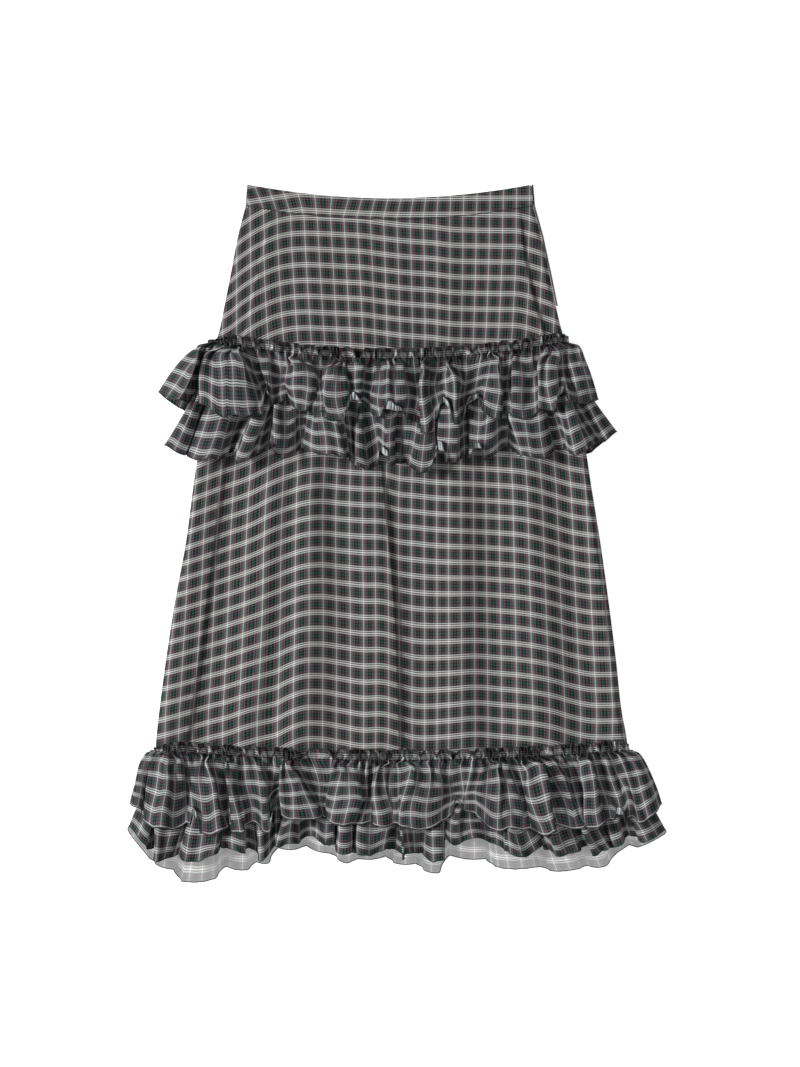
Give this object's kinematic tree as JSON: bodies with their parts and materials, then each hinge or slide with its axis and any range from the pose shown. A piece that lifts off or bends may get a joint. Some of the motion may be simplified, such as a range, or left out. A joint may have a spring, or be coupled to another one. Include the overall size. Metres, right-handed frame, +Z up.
{
  "type": "tiered ruffle skirt",
  "caption": "Midi skirt laid flat: A-line panels under a straight waistband, with gathered two-tier ruffles at the hips and along the hem.",
  "frame": {"origin": "middle of the footprint, on the surface the skirt lies on", "axes": "+Y towards the waist, +X to the right seen from above, +Z up, out of the front"},
  "size_m": [0.6349, 0.822, 0.0298],
  "materials": {
    "panel": "plaid chiffon, matt",
    "ruffle": "sheer plaid chiffon, matt",
    "waistband": "plaid chiffon over a firm band, matt",
    "zip": "dark woven zip tape and coil"
  },
  "bodies": {
    "root": {"waistband_front": "waistband", "waistband_back": "waistband", "front_panel": "panel", "back_panel": "panel", "upper_ruffle_short_front": "ruffle", "upper_ruffle_short_back": "ruffle", "upper_ruffle_long_front": "ruffle", "upper_ruffle_long_back": "ruffle", "hem_ruffle_short_front": "ruffle", "hem_ruffle_short_back": "ruffle", "hem_ruffle_long_front": "ruffle", "hem_ruffle_long_back": "ruffle", "side_zip": "zip"}
  },
  "joints": []
}
